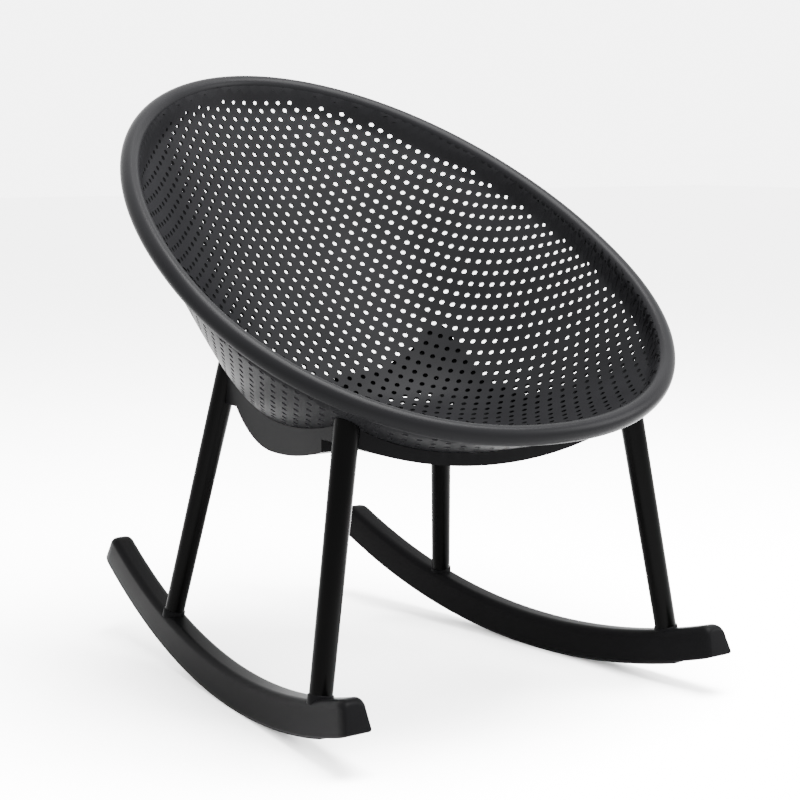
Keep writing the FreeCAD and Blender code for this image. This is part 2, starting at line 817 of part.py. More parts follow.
def lower_edge(name, draw, place, length):
    sketch = new_sketch(cradle_body, "XY_Plane", name + "_edge", place)
    draw(sketch)
    pocket = cradle_body.newObject("PartDesign::Pocket", name)
    pocket.Profile = sketch
    pocket.Length = length
    pocket.Midplane = True
    return pocket


def front_edge(sketch):
    middle = size("cradle_front_edge_height")
    radius = (FRONT_EDGE_HALF**2 + FRONT_EDGE_RISE**2) / (2 * FRONT_EDGE_RISE)
    end = middle + radius - math.sqrt(radius**2 - EDGE_END**2)
    sketch.addGeometry(arc_through((-EDGE_END, end), (0, middle), (EDGE_END, end)), False)
    run = [(EDGE_END, end), (EDGE_END, CRADLE_LOW), (-EDGE_END, CRADLE_LOW), (-EDGE_END, end)]
    for start, stop in zip(run, run[1:]):
        sketch.addGeometry(Part.LineSegment(Vector(*start, 0), Vector(*stop, 0)), False)


FRONT_BAND_MIDDLE = -245.0
FRONT_BAND_LENGTH = 110.0
front_place = Placement(Vector(0, FRONT_BAND_MIDDLE, 0), UPRIGHT_XZ)
lower_edge("front_arch", front_edge, front_place, FRONT_BAND_LENGTH)

SIDE_LOW_BACK = -50.0
SIDE_FRONT_RADIUS = 506.0
SIDE_REAR_RADIUS = 160.0
SIDE_EDGE_FRONT = -190.0
SIDE_EDGE_REAR = 140.0


def side_edge(sketch):
    low = size("cradle_side_edge_height")
    arch = size("cradle_arch_height")
    front_rise = SIDE_FRONT_RADIUS - math.sqrt(
        SIDE_FRONT_RADIUS**2 - (SIDE_LOW_BACK - SIDE_EDGE_FRONT) ** 2
    )
    rear_drop = SIDE_REAR_RADIUS - (arch - low)
    rear_run = math.sqrt(SIDE_REAR_RADIUS**2 - rear_drop**2)
    half_angle = math.atan2(rear_run, rear_drop) / 2
    front = (SIDE_EDGE_FRONT, low + front_rise)
    middle_run = (SIDE_LOW_BACK - SIDE_EDGE_FRONT) / 2
    middle_rise = SIDE_FRONT_RADIUS - math.sqrt(SIDE_FRONT_RADIUS**2 - middle_run**2)
    bottom = (SIDE_LOW_BACK, low)
    rear_middle = (
        SIDE_LOW_BACK + SIDE_REAR_RADIUS * math.sin(half_angle),
        low + SIDE_REAR_RADIUS * (1 - math.cos(half_angle)),
    )
    rear = (SIDE_LOW_BACK + rear_run, arch)
    front_middle = (SIDE_LOW_BACK - middle_run, low + middle_rise)
    sketch.addGeometry(arc_through(front, front_middle, bottom), False)
    sketch.addGeometry(arc_through(bottom, rear_middle, rear), False)
    run = [
        rear,
        (SIDE_EDGE_REAR, arch),
        (SIDE_EDGE_REAR, CRADLE_LOW),
        (SIDE_EDGE_FRONT, CRADLE_LOW),
        front,
    ]
    for start, stop in zip(run, run[1:]):
        sketch.addGeometry(Part.LineSegment(Vector(*start, 0), Vector(*stop, 0)), False)


UPRIGHT_YZ = Rotation(Vector(0, 0, 1), 90).multiply(Rotation(Vector(1, 0, 0), 90))
SIDE_BAND = 110.0
SIDE_OVERLAP = 15.0
for hand in (LEFT, RIGHT):
    middle = hand * (size("cradle_opening_half_width") + SIDE_BAND / 2 - SIDE_OVERLAP)
    place = Placement(Vector(middle, 0, 0), UPRIGHT_YZ)
    lower_edge("side_arch_" + HAND_WORD[hand], side_edge, place, SIDE_BAND)


def rear_edge(sketch):
    middle = size("cradle_rear_edge_height")
    corner = size("cradle_arch_height")
    half = size("cradle_opening_half_width")
    sketch.addGeometry(arc_through((-half, corner), (0, middle), (half, corner)), False)
    run = [(half, corner), (half, CRADLE_LOW), (-half, CRADLE_LOW), (-half, corner)]
    for start, stop in zip(run, run[1:]):
        sketch.addGeometry(Part.LineSegment(Vector(*start, 0), Vector(*stop, 0)), False)


REAR_BAND_MIDDLE = 90.0
REAR_BAND_LENGTH = 80.0
rear_place = Placement(Vector(0, REAR_BAND_MIDDLE, 0), UPRIGHT_XZ)
lower_edge("rear_arch", rear_edge, rear_place, REAR_BAND_LENGTH)

# Shell screws: up through the ring into the bosses, each with its washer.
shell_screws, shell_washers, screw_rooms = [], [], []
SCREW_SEAT_DROP = 3.5
for pair, (side, back, foot) in enumerate(BOSS_PLACES):
    for hand in (LEFT, RIGHT):
        name = "shell_screw_%d_%s" % (pair, HAND_WORD[hand])
        seat = foot - SCREW_SEAT_DROP
        spot = Vector(hand * side, back, 0)
        thin = size("washer_thickness")
        head_place = Placement(
            spot + Vector(0, 0, seat - thin - size("shell_screw_head_height")), Rotation()
        )
        head = cylinder(
            name + "_head",
            "sizes.shell_screw_head_diameter / 2",
            "sizes.shell_screw_head_height",
            head_place,
        )
        shank = cylinder(
            name + "_shank",
            "sizes.shell_screw_diameter / 2 * %s" % PILOT_SHARE,
            "sizes.shell_screw_length - sizes.washer_thickness",
            Placement(spot + Vector(0, 0, seat - thin), Rotation()),
        )
        shell_screws.append(joined(name, [head, shank]))
        washer_place = Placement(spot + Vector(0, 0, seat - thin), Rotation())
        disc = cylinder(
            name + "_washer_disc",
            "sizes.shell_screw_head_diameter / 2 + sizes.washer_thickness",
            "sizes.washer_thickness",
            washer_place,
        )
        hole = cylinder(
            name + "_washer_hole",
            "sizes.shell_screw_diameter / 2",
            "sizes.washer_thickness",
            washer_place,
        )
        shell_washers.append(boolean("Cut", name + "_washer", disc, hole))
        screw_rooms.append(
            cylinder(
                name + "_room",
                "sizes.shell_screw_diameter / 2 + sizes.fit_clearance",
                "sizes.shell_screw_length",
                washer_place,
            )
        )
        screw_rooms.append(
            cylinder(
                name + "_boss_room",
                "sizes.boss_diameter / 2 + sizes.fit_clearance",
                "%s" % BOSS_LENGTH,
                Placement(spot + Vector(0, 0, foot - CLEARANCE), Rotation()),
            )
        )
        screw_rooms.append(
            cylinder(
                name + "_head_room",
                "sizes.shell_screw_head_diameter / 2 + 2 * sizes.washer_thickness",
                "%s" % (seat - CRADLE_LOW),
                Placement(spot + Vector(0, 0, CRADLE_LOW), Rotation()),
            )
        )

cradle_tools = joined("cradle_cuts", [room_body] + leg_rooms + bolt_rooms + screw_rooms)
cradle = boolean("Cut", "seat_cradle", cradle_body, cradle_tools)
cradle.Label = "seat_cradle"
outputs["seat_cradle"] = cradle

# Groups of identical fasteners, each kept as separate solids.
doc.recompute()
for which, hand in LEGS:
    name = leg_name(which, hand)
    outputs[name] = doc.getObject(name)


def group(label, items):
    compound = doc.addObject("Part::Compound", label)
    compound.Links = items
    compound.Label = label
    outputs[label] = compound


group("leg_bolts", bolts)
group("leg_bolt_washers", washers)
group("leg_top_inserts", top_inserts)
group("rocker_screws", screws)
group("leg_foot_inserts", foot_inserts)
group("shell_screws", shell_screws)
group("shell_screw_washers", shell_washers)
doc.recompute()

failed = [
    item.Label for item in doc.Objects if "Invalid" in item.State or "Error" in item.State
]
for label, item in outputs.items():
    shape = item.Shape
    if shape.isNull() or not shape.isValid():
        failed.append(label)
if failed:
    raise RuntimeError("failed objects: " + ", ".join(failed))

os.makedirs("parts", exist_ok=True)
for label, item in outputs.items():
    item.Shape.exportStep(os.path.join("parts", label + ".step"))
    box = item.Shape.BoundBox
    print(label, len(item.Shape.Solids), round(item.Shape.Volume), box)
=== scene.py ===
import math

import bpy
import numpy as np
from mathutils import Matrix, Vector


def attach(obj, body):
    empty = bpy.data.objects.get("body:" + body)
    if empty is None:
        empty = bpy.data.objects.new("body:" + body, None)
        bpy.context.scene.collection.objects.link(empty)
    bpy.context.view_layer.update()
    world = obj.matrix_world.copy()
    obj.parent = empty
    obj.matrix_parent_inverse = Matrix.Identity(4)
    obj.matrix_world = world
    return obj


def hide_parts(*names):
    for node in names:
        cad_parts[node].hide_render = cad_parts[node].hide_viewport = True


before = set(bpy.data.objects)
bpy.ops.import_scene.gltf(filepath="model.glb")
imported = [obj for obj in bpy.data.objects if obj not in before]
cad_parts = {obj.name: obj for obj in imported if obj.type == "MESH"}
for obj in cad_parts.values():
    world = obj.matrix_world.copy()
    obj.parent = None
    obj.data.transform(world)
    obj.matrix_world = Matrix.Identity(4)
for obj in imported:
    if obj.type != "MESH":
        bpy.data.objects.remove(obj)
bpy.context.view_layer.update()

# The seat shell is one thin polypropylene moulding, an egg-shaped bowl tilted back, with
# rows of small round holes through its 4 mm wall and a plain band below the rim. It is
# injection moulded and drops onto the cradle ring.
RIM_ORIGIN = (0.0, -0.0565, 0.5501)
RIM_TILT = math.radians(31.05)
RIM_HALF_WIDTH = 0.3375
RIM_BACK_REACH = 0.449
RIM_FRONT_REACH = 0.361
BOWL_DEPTH = 0.241
DEEPEST_BACK = 0.015
WIDEST_SHIFT = 0.180
FRONT_SQUARENESS = 2.2
SHELL_WALL = 0.004
HOLE_RADIUS = 0.0037
PLAIN_BAND_DEPTH, BACK_BAND_CUT = 0.019, 0.009
HALF_COLUMNS = 44
FIRST_ROW, LAST_ROW = -14, 66
MIDDLE_ROW, ROWS_TO_EDGE, COLUMNS_TO_EDGE = 10, 20, 30
LAST_CURVED_ROW, LAST_CURVED_COLUMN = 1.1, 1.05
FRONT_BEND = 0.04
LOWEST_STATION, HIGHEST_STATION, EDGE_ROOM = 1e-4, 1.12, 0.005
HALVINGS = 40
SEAT_MIDDLE_BACK = -0.05
ROLL_RADIUS = 0.0125
BLEND_START = 0.945
WALL_TOP = 0.005
SHELL_COLOUR = (0.0024, 0.0024, 0.0026, 1)


def swell(station, first, second, fourth):
    """Share of the rim's reach at a station, 0 at the deepest point and 1 at the rim."""
    square = station * station
    return first * station + second * square + fourth * square**2


def outline_reaches(station):
    """Half width, back, front and widest line of the bowl's outline at a station."""
    depth_share = 1 - station * station
    side = RIM_HALF_WIDTH * swell(station, 1.45, -0.70, 0.25)
    back = DEEPEST_BACK + (RIM_BACK_REACH - DEEPEST_BACK) * swell(station, 0.22, 0.95, -0.17)
    front = DEEPEST_BACK - (RIM_FRONT_REACH + DEEPEST_BACK) * swell(station, 0.55, 0.68, -0.23)
    widest = DEEPEST_BACK * depth_share**2 - WIDEST_SHIFT * depth_share * (1 - depth_share)
    return side, back, front, widest


def bowl_station(across, along):
    """Station of the bowl's surface under each point of the rim plane, by halving."""
    low = np.full(across.shape, LOWEST_STATION)
    high = np.full(across.shape, HIGHEST_STATION)
    for _ in range(HALVINGS):
        middle = (low + high) / 2
        side, back, front, widest = outline_reaches(middle)
        behind = along > widest
        power = np.where(behind, 2.0, FRONT_SQUARENESS)
        share = np.abs(along - widest) / np.where(behind, back - widest, widest - front)
        outside = (np.abs(across) / side) ** power + share**power > 1
        low = np.where(outside, middle, low)
        high = np.where(outside, high, middle)
    return (low + high) / 2


def on_bowl(across, along):
    """Points of the bowl's inner face, which leans in to meet the rolled rim smoothly."""
    station = bowl_station(across, along)
    step = 0.001
    slope_x = bowl_station(across + step, along) - bowl_station(across - step, along)
    slope_y = bowl_station(across, along + step) - bowl_station(across, along - step)
    steepness = BOWL_DEPTH * 2 * station / (2 * step)
    normal = np.stack([-slope_x * steepness, -slope_y * steepness, np.ones_like(station)], axis=-1)
    normal /= np.linalg.norm(normal, axis=-1, keepdims=True)
    share = np.clip((station - BLEND_START) / (1 - BLEND_START), 0, 1)
    lean = ROLL_RADIUS * share**2 * (3 - 2 * share)
    face = np.stack([across, along, -BOWL_DEPTH * (1 - station**2)], axis=-1)
    return face + normal * lean[..., None], station


def standing(points):
    """Points of the rim's frame as they stand in the tilted chair."""
    cosine, sine = math.cos(RIM_TILT), math.sin(RIM_TILT)
    x, y, z = points[..., 0], points[..., 1], points[..., 2]
    turned = np.stack([x, y * cosine - z * sine, y * sine + z * cosine], axis=-1)
    return turned + np.array(RIM_ORIGIN)


def eased(value, limit, power):
    """A power that carries on straight past its limit, so that the pattern never folds."""
    inner = np.clip(value, -limit, limit)
    return inner**power + power * inner ** (power - 1) * (value - inner)


def hole_place(column, row):
    """Where a hole of the staggered pattern lies in the rim plane, in metres.

    The rows spread, narrow and bend as the photograph shows them.
    """
    a = column / COLUMNS_TO_EDGE
    b = (row - MIDDLE_ROW) / ROWS_TO_EDGE
    inner = np.minimum(b, LAST_CURVED_ROW)
    width = 0.3017 + 0.0323 * inner + 0.0027 * inner**2 - 0.0086 * inner**3
    narrowing = 0.0190 + 0.0184 * inner
    across = a * width - eased(a, LAST_CURVED_COLUMN, 3) * narrowing
    middle = 0.2162 - 0.2214 * b + 0.0033 * eased(b, LAST_CURVED_ROW, 2)
    middle -= 0.0020 * eased(b, LAST_CURVED_ROW, 3) + 0.0041 * eased(b, LAST_CURVED_ROW, 4)
    bend = -0.0523 + 0.0176 * inner + 0.0166 * inner**2 + FRONT_BEND * (b - inner)
    along = middle + bend * eased(a, LAST_CURVED_COLUMN, 2)
    return across, along + 0.0296 * eased(a, LAST_CURVED_COLUMN, 4)


places = [
    (column, row)
    for row in range(FIRST_ROW, LAST_ROW + 1)
    for column in range(-HALF_COLUMNS, HALF_COLUMNS + 1)
    if (column + row) % 2
]
columns, rows = np.array(places, dtype=float).T
across, along = hole_place(columns, rows)
centres, stations = on_bowl(across, along)
number = {place: index for index, place in enumerate(places)}
kept = stations < HIGHEST_STATION - EDGE_ROOM
plain_band = PLAIN_BAND_DEPTH - BACK_BAND_CUT * np.clip(along / RIM_BACK_REACH, 0, 1)
pierced = BOWL_DEPTH * (1 - stations**2) > plain_band
AROUND = ((2, 0), (1, -1), (-1, -1), (-2, 0), (-1, 1), (1, 1))
bowl_points = [centres]
corner = {}
ring_parts = []
count = len(places)
for index, (column, row) in enumerate(places):
    if not pierced[index]:
        continue
    near = [centres[number[(column + c, row + r)]] - centres[index] for c, r in AROUND]
    near = [step / np.linalg.norm(step) for step in near]
    for side in range(6):
        between = near[side] + near[(side + 1) % 6]
        for part, step in ((2 * side, near[side]), (2 * side + 1, between)):
            ring_parts.append(centres[index] + step * (HOLE_RADIUS / np.linalg.norm(step)))
            corner[(index, part)] = count
            count += 1
ring_points = np.array(ring_parts)
bowl_points.append(on_bowl(ring_points[:, 0], ring_points[:, 1])[0])

web_parts = []
middles = {}


def web_point(*indices):
    """A point of the web between holes, in the middle of these lattice places."""
    key = tuple(sorted(indices))
    if key not in middles:
        global count
        middles[key] = count
        web_parts.append(np.mean([centres[i] for i in indices], axis=0))
        count += 1
    return middles[key]


bowl_faces = []
for index, (column, row) in enumerate(places):
    for first in (0, 1):
        trio = [(column, row)] + [
            (column + AROUND[k][0], row + AROUND[k][1]) for k in (first, first + 1)
        ]
        if not all(place in number and kept[number[place]] for place in trio):
            continue
        ids = [number[place] for place in trio]
        heart = web_point(*ids)
        for turn in range(3):
            here, after, before = ids[turn], ids[turn - 2], ids[turn - 1]
            out, back = web_point(here, after), web_point(before, here)
            if pierced[here]:
                towards = (
                    places[after][0] - places[here][0],
                    places[after][1] - places[here][1],
                )
                side = 2 * AROUND.index(towards)
                a, b, c = [corner[(here, (side + step) % 12)] for step in (0, 1, 2)]
                bowl_faces += [(heart, out, a, b)[::-1], (heart, b, c, back)[::-1]]
            else:
                bowl_faces.append((heart, out, here, back)[::-1])
web_points = np.array(web_parts)
bowl_points.append(on_bowl(web_points[:, 0], web_points[:, 1])[0])
shell_mesh = bpy.data.meshes.new("seat_shell_moulding")
shell_mesh.from_pydata(standing(np.concatenate(bowl_points)).tolist(), [], bowl_faces)
seat_shell = bpy.data.objects.new("seat_shell_moulding", shell_mesh)
bpy.context.collection.objects.link(seat_shell)


def only(piece):
    """Selects this piece alone and makes it the one that operators act on."""
    bpy.ops.object.select_all(action="DESELECT")
    piece.select_set(True)
    bpy.context.view_layer.objects.active = piece


def skinned(name, points, faces, sharp_angle):
    """A piece from points and faces, all facing outwards, its edges sharp past an angle."""
    mesh = bpy.data.meshes.new(name)
    mesh.from_pydata(points, [], faces)
    piece = bpy.data.objects.new(name, mesh)
    bpy.context.collection.objects.link(piece)
    only(piece)
    bpy.ops.object.mode_set(mode="EDIT")
    bpy.ops.mesh.select_all(action="SELECT")
    bpy.ops.mesh.normals_make_consistent(inside=False)
    bpy.ops.object.mode_set(mode="OBJECT")
    bpy.ops.object.shade_smooth_by_angle(angle=math.radians(sharp_angle))
    return piece


only(seat_shell)
rim_normal = (0.0, -math.sin(RIM_TILT), math.cos(RIM_TILT))
wall_top = [origin + WALL_TOP * step for origin, step in zip(RIM_ORIGIN, rim_normal)]
bpy.ops.object.mode_set(mode="EDIT")
bpy.ops.mesh.delete_loose()
bpy.ops.mesh.select_all(action="SELECT")
bpy.ops.mesh.normals_make_consistent(inside=False)
bpy.ops.mesh.bisect(plane_co=wall_top, plane_no=rim_normal, clear_outer=True)
bpy.ops.object.mode_set(mode="OBJECT")
middle_face = min(
    shell_mesh.polygons,
    key=lambda face: face.center.x**2 + (face.center.y - SEAT_MIDDLE_BACK) ** 2,
)
if middle_face.normal.z < 0:
    shell_mesh.flip_normals()
thicken = seat_shell.modifiers.new("wall", "SOLIDIFY")
thicken.thickness = SHELL_WALL
thicken.offset = -1
thicken.use_even_offset = False
bpy.ops.object.modifier_apply(modifier="wall")
bpy.ops.object.shade_smooth_by_angle(angle=math.radians(40))


def moulded_plastic(name, colour, grain_size, grain_depth, roughness, cloudiness, gloss):
    """Dark moulded plastic: a fine spark-eroded grain and faint clouding of its sheen."""
    material = bpy.data.materials.new(name)
    material.use_nodes = True
    nodes, links = material.node_tree.nodes, material.node_tree.links
    shader = nodes["Principled BSDF"]
    shader.inputs["Specular IOR Level"].default_value = gloss
    place = nodes.new("ShaderNodeTexCoord")
    grain = nodes.new("ShaderNodeTexNoise")
    grain.inputs["Scale"].default_value = 1 / grain_size
    grain.inputs["Detail"].default_value = 2.0
    links.new(place.outputs["Object"], grain.inputs["Vector"])
    clouds = nodes.new("ShaderNodeTexNoise")
    clouds.inputs["Scale"].default_value = 9.0
    clouds.inputs["Detail"].default_value = 3.0
    links.new(place.outputs["Object"], clouds.inputs["Vector"])
    tint = nodes.new("ShaderNodeValToRGB")
    tint.color_ramp.elements[0].position = 0.35
    tint.color_ramp.elements[1].position = 0.68
    darker = [channel * (1 - cloudiness) for channel in colour[:3]]
    lighter = [channel * (1 + cloudiness) for channel in colour[:3]]
    tint.color_ramp.elements[0].color = (*darker, 1)
    tint.color_ramp.elements[1].color = (*lighter, 1)
    links.new(clouds.outputs["Fac"], tint.inputs["Fac"])
    links.new(tint.outputs["Color"], shader.inputs["Base Color"])
    sheen = nodes.new("ShaderNodeMapRange")
    sheen.inputs["To Min"].default_value = roughness - 0.05
    sheen.inputs["To Max"].default_value = roughness + 0.06
    links.new(clouds.outputs["Fac"], sheen.inputs["Value"])
    links.new(sheen.outputs["Result"], shader.inputs["Roughness"])
    bump = nodes.new("ShaderNodeBump")
    bump.inputs["Strength"].default_value = 0.5
    bump.inputs["Distance"].default_value = grain_depth
    links.new(grain.outputs["Fac"], bump.inputs["Height"])
    links.new(bump.outputs["Normal"], shader.inputs["Normal"])
    return material


shell_plastic = moulded_plastic("shell_plastic", SHELL_COLOUR, 0.0011, 0.00012, 0.42, 0.14, 0.006)
seat_shell.data.materials.append(shell_plastic)
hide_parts("seat_shell")
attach(seat_shell, "root")

# The rim is rolled outwards and down into a stiff open tube all round the shell. It is
# part of the same moulding, smoother than the bowl, with a thin lip below.
ROLL_WALL = 0.0035
OUTER_LIP, INNER_LIP = math.radians(-35), math.radians(195)
RIM_SAMPLES, ROLL_STATIONS = 2880, 240
OUTER_STEPS, INNER_STEPS = 26, 14


def rim_outline(turn):
    """A point of the rim's outline in its own plane."""
    side, back, front, widest = outline_reaches(1.0)
    along, across = math.cos(turn), math.sin(turn)
    if along > 0:
        return np.array([side * across, widest + (back - widest) * along])
    power = 2 / FRONT_SQUARENESS
    x = side * math.copysign(abs(across) ** power, across)
    return np.array([x, widest - (widest - front) * abs(along) ** power])


fine_turns = [2 * math.pi * k / RIM_SAMPLES for k in range(RIM_SAMPLES)]
fine_rim = np.array([rim_outline(turn) for turn in fine_turns])
runs = np.linalg.norm(np.roll(fine_rim, -1, axis=0) - fine_rim, axis=1)
walked = np.concatenate([[0.0], np.cumsum(runs)])
closed_rim = np.vstack([fine_rim, fine_rim[:1]])
stops = np.linspace(0, walked[-1], ROLL_STATIONS, endpoint=False)
rim_line = np.stack([np.interp(stops, walked, closed_rim[:, axis]) for axis in (0, 1)], axis=1)
rim_ahead = np.roll(rim_line, -1, axis=0) - np.roll(rim_line, 1, axis=0)
rim_ahead /= np.linalg.norm(rim_ahead, axis=1)[:, None]
rim_out = np.stack([-rim_ahead[:, 1], rim_ahead[:, 0]], axis=1)
if (rim_out * rim_line).sum() < 0:
    rim_out = -rim_out
outer = np.linspace(OUTER_LIP, INNER_LIP, OUTER_STEPS + 1)
inner = np.linspace(INNER_LIP, OUTER_LIP, INNER_STEPS + 1)
section = [(ROLL_RADIUS * math.cos(a), ROLL_RADIUS * math.sin(a)) for a in outer]
section += [
    ((ROLL_RADIUS - ROLL_WALL) * math.cos(a), (ROLL_RADIUS - ROLL_WALL) * math.sin(a))
    for a in inner
]
around = len(section)
roll_points = [
    (line[0] + out[0] * x, line[1] + out[1] * x, z)
    for line, out in zip(rim_line, rim_out)
    for x, z in section
]
roll_faces = []
for stop in range(ROLL_STATIONS):
    for step in range(around):
        here, beside = stop * around + step, stop * around + (step + 1) % around
        ahead = ((stop + 1) % ROLL_STATIONS) * around - stop * around
        roll_faces.append((here, beside, beside + ahead, here + ahead))
rim_roll = skinned("seat_rim_roll", standing(np.array(roll_points)).tolist(), roll_faces, 35)
rim_plastic = moulded_plastic("rim_plastic", SHELL_COLOUR, 0.0011, 0.00006, 0.32, 0.08, 0.010)
rim_roll.data.materials.append(rim_plastic)
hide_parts("seat_shell")
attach(rim_roll, "root")

# The cradle is a moulded plastic ring under the seat that takes the legs' tops and
# carries the shell. Its outer face is plain and its lower edge is arched.
FRAME_COLOUR = (0.0013, 0.0013, 0.0014, 1)
frame_plastic = moulded_plastic("frame_plastic", FRAME_COLOUR, 0.0009, 0.00008, 0.38, 0.08, 0.006)


def finish_of(node, material):
    """Gives a carried-over solid its finish."""
    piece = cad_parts[node]
    piece.data.materials.clear()
    piece.data.materials.append(material)


finish_of("seat_cradle", frame_plastic)

# The rockers are moulded plastic runners with rounded tops and noses, one under each pair
# of legs and wider apart at the front. A short collar stands round each leg's foot, and
# screws from below hold the legs.
ROCKER_RADIUS = 0.989
ROCKER_CONTACT_BACK = -0.0568
ROCKER_HALF_SPACING = 0.24606
ROCKER_SPLAY = math.radians(5.89)
ROCKER_FRONT, ROCKER_REAR = math.radians(-18.2), math.radians(26.45)
ROCKER_LOW, ROCKER_HIGH = 0.0025, 0.0445
ROCKER_FOOT_HALF, ROCKER_TOP_HALF = 0.0200, 0.0165
TOP_ROUND, FOOT_ROUND, LEAST_FLAT = 0.0095, 0.003, 0.001
NOSE_ROUND, NOSE_LENGTH, NOSE_SIDE_SHARE, NOSE_FOOT_SHARE = 0.010, 0.017, 0.4, 0.2
ROCKER_STATIONS, CORNER_STEPS, NOSE_STEPS = 96, 9, 16


def rocker_section(inset):
    """The runner's section as (side, height) pairs, drawn in by inset at a nose."""
    narrower = inset * NOSE_SIDE_SHARE
    foot, top = ROCKER_FOOT_HALF - narrower, ROCKER_TOP_HALF - narrower
    low, high = ROCKER_LOW + inset * NOSE_FOOT_SHARE, ROCKER_HIGH - inset
    top_round = min(TOP_ROUND, top - LEAST_FLAT)
    corners = (
        (foot - FOOT_ROUND, low + FOOT_ROUND, FOOT_ROUND, -90),
        (top - top_round, high - top_round, top_round, 0),
        (-top + top_round, high - top_round, top_round, 90),
        (-foot + FOOT_ROUND, low + FOOT_ROUND, FOOT_ROUND, 180),
    )
    points = []
    for side, height, radius, start in corners:
        for step in range(CORNER_STEPS):
            turn = math.radians(start + 90 * step / (CORNER_STEPS - 1))
            points.append((side + radius * math.cos(turn), height + radius * math.sin(turn)))
    return points


def runner(name, hand):
    """A runner swept on the rocking arc, its ends rounded off."""
    nose_turn = NOSE_LENGTH / ROCKER_RADIUS
    eased_steps = [1 - math.cos(math.pi / 2 * k / NOSE_STEPS) for k in range(NOSE_STEPS)]
    turns = [(ROCKER_FRONT + nose_turn * step, step) for step in eased_steps]
    middle = np.linspace(ROCKER_FRONT + nose_turn, ROCKER_REAR - nose_turn, ROCKER_STATIONS)
    turns += [(turn, 1.0) for turn in middle]
    turns += [(ROCKER_REAR - nose_turn * step, step) for step in reversed(eased_steps)]
    points = []
    for turn, step in turns:
        inset = NOSE_ROUND * (1 - math.sqrt(max(0.0, 1 - (1 - step) ** 2)))
        for side, height in rocker_section(inset):
            reach = ROCKER_RADIUS - height
            along = reach * math.sin(turn)
            x = ROCKER_HALF_SPACING + side - math.tan(ROCKER_SPLAY) * along
            y = ROCKER_CONTACT_BACK + along
            points.append((hand * x, y, ROCKER_RADIUS - reach * math.cos(turn)))
    per_ring = len(rocker_section(0))
    faces = []
    for ring in range(len(turns) - 1):
        for step in range(per_ring):
            here, beside = ring * per_ring + step, ring * per_ring + (step + 1) % per_ring
            faces.append((here, beside, beside + per_ring, here + per_ring))
    faces.append(tuple(range(per_ring)))
    faces.append(tuple(range((len(turns) - 1) * per_ring, len(turns) * per_ring)))
    piece = skinned(name, points, faces, 40)
    piece.data.materials.append(frame_plastic)
    return piece


FRONT_FOOT, FRONT_LEG_TOP = Vector((0.2680, -0.2702, 0.0706)), Vector((0.2149, -0.2471, 0.380))
REAR_FOOT, REAR_LEG_TOP = Vector((0.2230, 0.1664, 0.0730)), Vector((0.1764, 0.1046, 0.380))
FRONT_FOOT_RADIUS, REAR_FOOT_RADIUS = 0.0140, 0.01325
COLLAR_PROFILE = ((-0.009, 0.0015), (0.0014, 0.0015), (0.0022, 0.0010), (0.0026, 0.0003))
COLLAR_BITE = 0.001
COLLAR_SIDES = 48


def collars(name, hand):
    """The two short collars round the feet of one side's legs."""
    points, faces = [], []
    front = (FRONT_FOOT, FRONT_LEG_TOP, FRONT_FOOT_RADIUS)
    rear = (REAR_FOOT, REAR_LEG_TOP, REAR_FOOT_RADIUS)
    for foot, top, radius in (front, rear):
        axis = (top - foot).normalized()
        beside = axis.orthogonal().normalized()
        third = axis.cross(beside)
        lowest, highest = COLLAR_PROFILE[0][0], COLLAR_PROFILE[-1][0]
        profile = COLLAR_PROFILE + ((highest, -COLLAR_BITE), (lowest, -COLLAR_BITE))
        first = len(points)
        for rise, wall in profile:
            for step in range(COLLAR_SIDES):
                turn = 2 * math.pi * step / COLLAR_SIDES
                out = beside * math.cos(turn) + third * math.sin(turn)
                place = foot + axis * rise + out * (radius + wall)
                points.append((hand * place.x, place.y, place.z))
        for ring in range(len(profile)):
            lower = first + ring * COLLAR_SIDES
            upper = first + (ring + 1) % len(profile) * COLLAR_SIDES
            for step in range(COLLAR_SIDES):
                after = (step + 1) % COLLAR_SIDES
                faces.append((lower + step, lower + after, upper + after, upper + step))
    piece = skinned(name, points, faces, 50)
    piece.data.materials.append(frame_plastic)
    return piece


for word, hand in (("left", 1), ("right", -1)):
    node = "rocker_" + word
    for piece in (runner(node + "_runner", hand), collars(node + "_collars", hand)):
        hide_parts(node)
        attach(piece, "root")

# The soles are rubber strips pressed into a groove under each rocker. They are plain and
# matt, and stand a little proud of the groove.
sole_rubber = moulded_plastic("sole_rubber", (0.002, 0.002, 0.002, 1), 0.0006, 0.0001, 0.72, 0.12, 0.05)
for hand in ("left", "right"):
    finish_of("rocker_sole_" + hand, sole_rubber)

# The legs are round tapered bars with a satin black coat. Each is bolted to the cradle at
# its top and stands in a socket of the rocker at its foot.
leg_coat = moulded_plastic("leg_coat", (0.0004, 0.0004, 0.0004, 1), 0.0007, 0.00003, 0.28, 0.08, 0.010)
for leg in ("front_leg_left", "front_leg_right", "rear_leg_left", "rear_leg_right"):
    finish_of(leg, leg_coat)


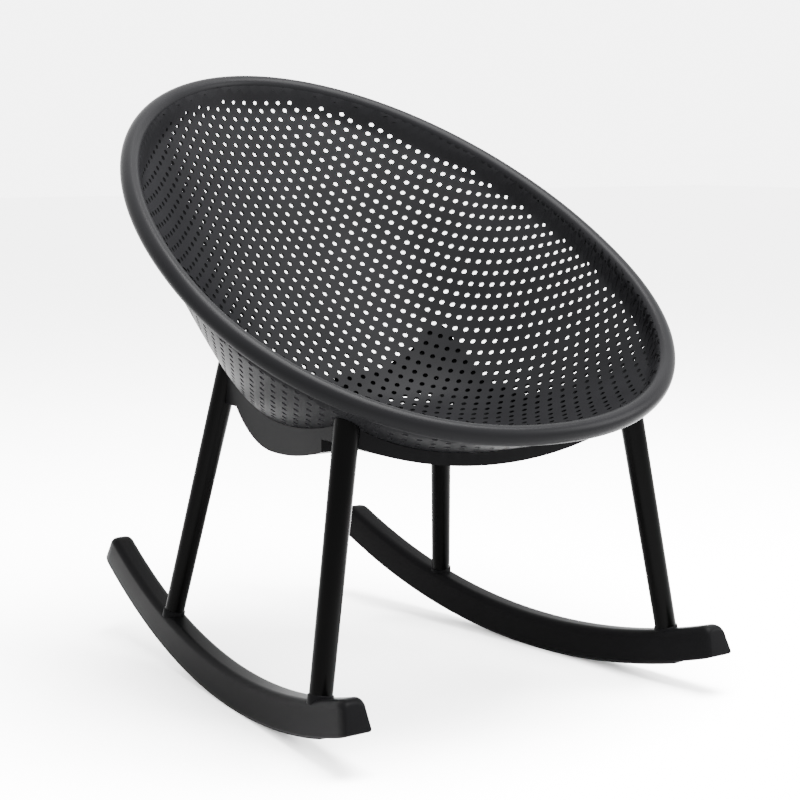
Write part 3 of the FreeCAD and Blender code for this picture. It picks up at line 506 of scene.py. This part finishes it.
# The bolts, screws and washers are zinc-plated steel and the threaded inserts brass, all
# turned or headed. They hold the shell, the legs and the rockers together.
def turned_metal(name, colour, roughness):
    """Plated or plain metal, with fine uneven marks in its tint and sheen."""
    material = bpy.data.materials.new(name)
    material.use_nodes = True
    nodes, links = material.node_tree.nodes, material.node_tree.links
    shader = nodes["Principled BSDF"]
    shader.inputs["Metallic"].default_value = 1.0
    place = nodes.new("ShaderNodeTexCoord")
    marks = nodes.new("ShaderNodeTexNoise")
    marks.inputs["Scale"].default_value = 1400.0
    links.new(place.outputs["Object"], marks.inputs["Vector"])
    tint = nodes.new("ShaderNodeValToRGB")
    tint.color_ramp.elements[0].color = (*[c * 0.8 for c in colour], 1)
    tint.color_ramp.elements[1].color = (*colour, 1)
    links.new(marks.outputs["Fac"], tint.inputs["Fac"])
    links.new(tint.outputs["Color"], shader.inputs["Base Color"])
    sheen = nodes.new("ShaderNodeMapRange")
    sheen.inputs["To Min"].default_value = roughness - 0.08
    sheen.inputs["To Max"].default_value = roughness + 0.10
    links.new(marks.outputs["Fac"], sheen.inputs["Value"])
    links.new(sheen.outputs["Result"], shader.inputs["Roughness"])
    return material


zinc_steel = turned_metal("zinc_steel", (0.55, 0.55, 0.56), 0.34)
brass = turned_metal("insert_brass", (0.75, 0.60, 0.30), 0.38)
for group in (
    "leg_bolts",
    "leg_bolt_washers",
    "rocker_screws",
    "shell_screws",
    "shell_screw_washers",
):
    finish_of(group, zinc_steel)
for group in ("leg_top_inserts", "leg_foot_inserts"):
    finish_of(group, brass)

# A plain pale floor, a bright even surround, two soft boxes and the camera as solved from
# the photograph. The surround is strong enough to read as near white, and the finishes'
# colours and gloss are set low to suit it, so they are darker than the real plastic's.
bpy.ops.object.select_all(action="DESELECT")
bpy.ops.mesh.primitive_plane_add(size=40, location=(0, 0, 0))
floor = bpy.context.active_object
floor.name = "studio_floor"
floor_paint = bpy.data.materials.new("studio_floor")
floor_paint.use_nodes = True
floor_shader = floor_paint.node_tree.nodes["Principled BSDF"]
floor_shader.inputs["Base Color"].default_value = (0.90, 0.90, 0.90, 1)
floor_shader.inputs["Roughness"].default_value = 0.9
floor.data.materials.append(floor_paint)

world = bpy.data.worlds.new("studio")
bpy.context.scene.world = world
world.use_nodes = True
world.node_tree.nodes["Background"].inputs["Color"].default_value = (1, 1, 1, 1)
world.node_tree.nodes["Background"].inputs["Strength"].default_value = 6.0


def soft_box(name, place, aim, width, power):
    """A square softbox at place, turned to aim."""
    light = bpy.data.lights.new(name, "AREA")
    light.shape = "SQUARE"
    light.size = width
    light.energy = power
    lamp = bpy.data.objects.new(name, light)
    bpy.context.collection.objects.link(lamp)
    lamp.location = place
    lamp.rotation_euler = (Vector(aim) - Vector(place)).to_track_quat("-Z", "Y").to_euler()
    return lamp


soft_box("overhead", (0.3, -0.4, 2.6), (0, 0, 0.4), 1.8, 1000)
soft_box("side_right", (2.2, -1.6, 1.6), (0, 0, 0.45), 1.2, 240)

CAMERA_PLACE, CAMERA_LENS, SENSOR_WIDTH = (-1.3787, -2.0136, 0.7008), 83.71, 36.0
CAMERA_AZIMUTH, CAMERA_ELEVATION = math.radians(-35.02), math.radians(7.916)
camera_back = Vector((
    math.sin(CAMERA_AZIMUTH) * math.cos(CAMERA_ELEVATION),
    -math.cos(CAMERA_AZIMUTH) * math.cos(CAMERA_ELEVATION),
    math.sin(CAMERA_ELEVATION),
))
camera_data = bpy.data.cameras.new("photo_view")
camera_data.sensor_width = SENSOR_WIDTH
camera_data.lens = CAMERA_LENS
camera = bpy.data.objects.new("photo_view", camera_data)
bpy.context.collection.objects.link(camera)
camera.location = CAMERA_PLACE
camera.rotation_mode = "QUATERNION"
camera.rotation_quaternion = (-camera_back).to_track_quat("-Z", "Y")
bpy.context.scene.camera = camera
